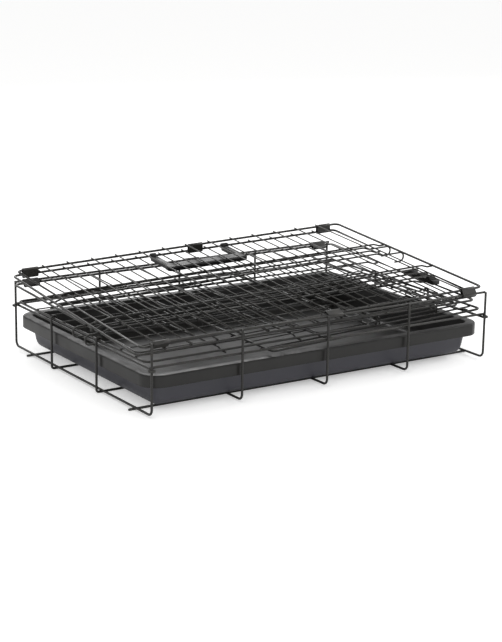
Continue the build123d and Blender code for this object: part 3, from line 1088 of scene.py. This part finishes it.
@dataclass
class PanMoulding:
    """The plastic pan, built as loops of its section."""

    length: float = 626.0
    width: float = 429.0
    height: float = 54.0
    corner: float = 30.0
    skirt: float = 19.0
    rim: float = 13.0
    taper: float = 10.0
    wall: float = 2.2
    edge: float = 3.0
    bottom: float = CROSS_Z + Stock.HEAVY.radius + 3 * TOUCH
    arc_steps: int = 10
    least_corner: float = 6.0
    corner_share: float = 0.9
    floor_run: float = 40.0
    foot_round: float = 15.0
    neck_round: float = 1.0
    skirt_round: float = 0.7
    lip_round: float = 1.6
    cove: float = 8.0
    round_points: int = 6

    def loop(self, inset: float, z: float) -> list[Vector]:
        """Return a rounded rectangle.

        Args:
            inset: how far it lies inside the pan's outline.
            z: its height over the pan's underside.

        Returns:
            Its points, in metres.
        """
        half_x, half_y = self.length / 2 - inset, self.width / 2 - inset
        radius = max(self.least_corner, self.corner - inset * self.corner_share)
        points = []
        for i, (sx, sy) in enumerate(((1, 1), (-1, 1), (-1, -1), (1, -1))):
            centre = (sx * (half_x - radius), sy * (half_y - radius))
            for x, y in arc(centre, radius, 90 * i, 90, 90 / self.arc_steps):
                points.append(Vector((x + BASE_LENGTH / 2 - MIDDLE_X, y, z + self.bottom)) * MM)
        return points

    def rounded(
        self, corner: FlatPoint, before: FlatPoint, after: FlatPoint, radius: float
    ) -> list[FlatPoint]:
        """Round one corner of the section.

        Args:
            corner: the corner, as inset and height.
            before: the section's point before it.
            after: the section's point after it.
            radius: how far the rounding reaches along each side.

        Returns:
            Points along the rounding.
        """
        reach = 0.45
        c, b, a = Vector(corner), Vector(before), Vector(after)
        start = c + (b - c).normalized() * min(radius, (b - c).length * reach)
        end = c + (a - c).normalized() * min(radius, (a - c).length * reach)
        curve = []
        for i in range(self.round_points):
            t = i / (self.round_points - 1)
            curve.append(tuple(start * (1 - t) ** 2 + c * 2 * t * (1 - t) + end * t**2))
        return curve

    def section(self) -> list[FlatPoint]:
        """Return the pan's section from the underside, round the rim, to the inner floor.

        Returns:
            Its points, as inset and height.
        """
        foot = self.rim + self.taper
        under = self.height - self.wall
        corners = [
            (foot + self.floor_run, 0.0, 0.0),
            (foot, 0.0, self.foot_round),
            (self.rim, under, self.neck_round),
            (self.wall, under, self.neck_round),
            (self.wall, self.height - self.skirt, self.skirt_round),
            (0.0, self.height - self.skirt, self.skirt_round),
            (0.0, self.height, self.edge),
            (self.rim + self.wall, self.height, self.lip_round),
            (foot + self.wall, self.wall, self.cove),
            (foot + self.floor_run, self.wall, 0.0),
        ]
        line: list[FlatPoint] = [corners[0][:2]]
        for before, here, after in zip(corners, corners[1:], corners[2:]):
            line.extend(self.rounded(here[:2], before[:2], after[:2], here[2]))
        line.append(corners[-1][:2])
        return line

    def make(self, material: bpy.types.Material) -> bpy.types.Object:
        """Build the pan.

        Args:
            material: the pan's material.

        Returns:
            The new object.
        """
        mesh = bmesh.new()
        loops = [[mesh.verts.new(p) for p in self.loop(*at)] for at in self.section()]
        count = len(loops[0])
        for first, second in zip(loops, loops[1:]):
            for k in range(count):
                mesh.faces.new((first[k], first[(k + 1) % count], second[(k + 1) % count], second[k]))
        mesh.faces.new(loops[0])
        mesh.faces.new(loops[-1])
        return dress(mesh, "pan", "pan", material)


@dataclass
class KeptNode:
    """A CAD node that is shown as it is, with softened edges."""

    node: str
    slot: str
    edge: float
    merge_metres: float = 1e-6
    sharp_degrees: float = 35.0

    def dress(self, material: bpy.types.Material) -> None:
        """Give the node its material and small rounded edges.

        Args:
            material: the node's material.
        """
        shown = frame["nodes"][self.node]
        shown.data.materials.clear()
        shown.data.materials.append(material)
        weld = shown.modifiers.new("weld", "WELD")
        weld.merge_threshold = self.merge_metres
        bevel = shown.modifiers.new("edges", "BEVEL")
        bevel.width = self.edge * MM
        bevel.segments = 2
        bevel.limit_method = "ANGLE"
        bevel.angle_limit = math.radians(self.sharp_degrees)
        bevel.harden_normals = True
        log.info("%s: kept, edges %.2f mm", self.node, self.edge)


@dataclass
class Studio:
    """Floor, light and camera."""

    focal: float = 1823.53
    azimuth: float = -33.4005
    elevation: float = 14.8312
    roll: float = 0.9177
    eye: Point = (-1571.24, -2396.93, 816.10)
    sensor: float = 36.0
    floor_size: float = 40.0
    floor_drop: float = 0.0003
    floor_lift: float = 0.4
    world_level: float = 0.6

    def camera(self) -> None:
        """Make the camera at the photograph's place and angle."""
        data = bpy.data.cameras.new("camera")
        data.sensor_width = self.sensor
        data.lens = self.focal * self.sensor / PHOTO_HEIGHT
        data.clip_start, data.clip_end = 0.05, 60
        camera = bpy.data.objects.new("camera", data)
        bpy.context.scene.collection.objects.link(camera)
        upright = turn("Z", self.azimuth) @ turn("X", 90 - self.elevation)
        camera.matrix_world = Matrix.Translation(Vector(self.eye) * MM) @ upright @ turn("Z", self.roll)
        bpy.context.scene.camera = camera

    def floor(self) -> None:
        """Make the plain pale floor."""
        bpy.ops.mesh.primitive_plane_add(size=self.floor_size, location=(0, 0, -self.floor_drop))
        floor = bpy.context.object
        floor.name = "floor"
        material = bpy.data.materials.new("floor_paper")
        material.use_nodes = True
        shader = next(n for n in material.node_tree.nodes if n.type == "BSDF_PRINCIPLED")
        shader.inputs["Base Color"].default_value = Tint.FLOOR.value
        shader.inputs["Roughness"].default_value = 0.9
        graph = Graph(material.node_tree)
        path = graph.add("ShaderNodeLightPath")
        lift = graph.ramp(path.outputs["Is Camera Ray"], 0.0, 1.0, to_high=self.floor_lift)
        shader.inputs["Emission Color"].default_value = (1, 1, 1, 1)
        graph.feed(shader.inputs["Emission Strength"], lift)
        floor.data.materials.append(material)

    def lamp(self, name: str, place: Point, size: tuple[float, float], watts: float) -> None:
        """Add a soft box that looks at the crate.

        Args:
            name: the lamp's name.
            place: where it stands, in metres.
            size: its width and height, in metres.
            watts: its power.
        """
        data = bpy.data.lights.new(name, "AREA")
        data.shape = "RECTANGLE"
        data.size, data.size_y = size
        data.energy = watts
        lamp = bpy.data.objects.new(name, data)
        lamp.location = place
        aim = Vector((0, 0, 0.06)) - Vector(place)
        lamp.rotation_euler = aim.to_track_quat("-Z", "Y").to_euler()
        bpy.context.scene.collection.objects.link(lamp)

    def world(self) -> None:
        """Make the plain white surroundings."""
        world = bpy.data.worlds.new("studio")
        world.use_nodes = True
        graph = Graph(world.node_tree)
        shader = next(n for n in world.node_tree.nodes if n.type == "BACKGROUND")
        shader.inputs["Color"].default_value = (1, 1, 1, 1)
        path = graph.add("ShaderNodeLightPath")
        seen = graph.math("MAXIMUM", path.outputs["Is Camera Ray"], path.outputs["Is Transmission Ray"])
        graph.feed(shader.inputs["Strength"], graph.ramp(seen, 0.0, 1.0, to_low=self.world_level))
        bpy.context.scene.world = world

    def make(self) -> None:
        """Make everything round the crate."""
        self.camera()
        self.floor()
        self.world()
        self.lamp("key", place=(-1.6, -1.8, 2.2), size=(1.4, 1.4), watts=26)
        self.lamp("fill", place=(2.2, -0.6, 1.4), size=(1.6, 1.0), watts=14)
        self.lamp("back", place=(0.6, 2.2, 1.6), size=(2.0, 0.8), watts=26)
        bpy.context.scene.view_settings.view_transform = "Standard"


class Crate:
    """The whole folded crate."""

    def __init__(self) -> None:
        """Make the materials."""
        effects = SharedEffects()
        self.wire = COATED_WIRE.material(effects)
        self.sheet = COATED_SHEET.material(effects)
        self.pan = PAN_MOULDING.material(effects)
        self.grip = GRIP_MOULDING.material(effects)

    def wire_pieces(self) -> list[Piece]:
        """Return every wire piece of the crate.

        Returns:
            The pieces, from the base to the right end panel.
        """
        front = Panel("front_side", "front_side", FRONT_PLACE, low_stub=0.5)
        top = TopPanel("top", "top_panel", TOP_PLACE)
        rear = Panel("rear_side", "rear_side", REAR_PLACE, low_stub=0.5)
        left = Panel("left_end", "left_end", LEFT_PLACE, END_WIDTH, END_DEPTH, 9)
        right = DoorEnd("right_end", "right_end", RIGHT_PLACE, END_WIDTH, END_DEPTH)
        sub_assemblies = (Base(), front, top, rear, left, right)
        return [piece for sub in sub_assemblies for piece in sub.pieces()]

    def kept_nodes(self) -> list[tuple[KeptNode, bpy.types.Material]]:
        """Return the CAD nodes that are shown as they are.

        Returns:
            Each node with its material.
        """
        clips = [side + "_hinge_clips" for side in ("front", "top", "rear", "door")]
        kept = [(KeptNode(name, "black_clip", 0.25), self.sheet) for name in (*clips, "door_bolt_plates")]
        kept.append((KeptNode("carry_handle", "handle_plastic", 0.8), self.grip))
        kept.append((KeptNode("rear_side_grip", "handle_plastic", 0.6), self.grip))
        return kept

    def make(self) -> None:
        """Build every piece in order."""
        for piece in self.wire_pieces():
            piece.make(self.wire)
        PanMoulding().make(self.pan)
        for node, material in self.kept_nodes():
            node.dress(material)


def check_fit() -> None:
    """Report how far each shown wire piece's box lies from its CAD node's box."""
    for shown in bpy.context.scene.objects:
        if "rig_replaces" not in shown:
            continue
        low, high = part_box(shown["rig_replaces"][0])
        corners = [Vector(c) for c in shown.bound_box]
        mine = [(min(c[i] for c in corners), max(c[i] for c in corners)) for i in range(3)]
        off = max(max(abs(mine[i][0] - low[i]), abs(mine[i][1] - high[i])) for i in range(3)) / MM
        log.info("%s lies within %.2f mm of its node", shown.name, off)


def main() -> None:
    """Build the scene."""
    logging.basicConfig(level=logging.INFO, format="%(name)s: %(message)s")
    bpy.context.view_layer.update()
    Studio().make()
    Crate().make()
    check_fit()


if __name__ == "__main__":
    main()
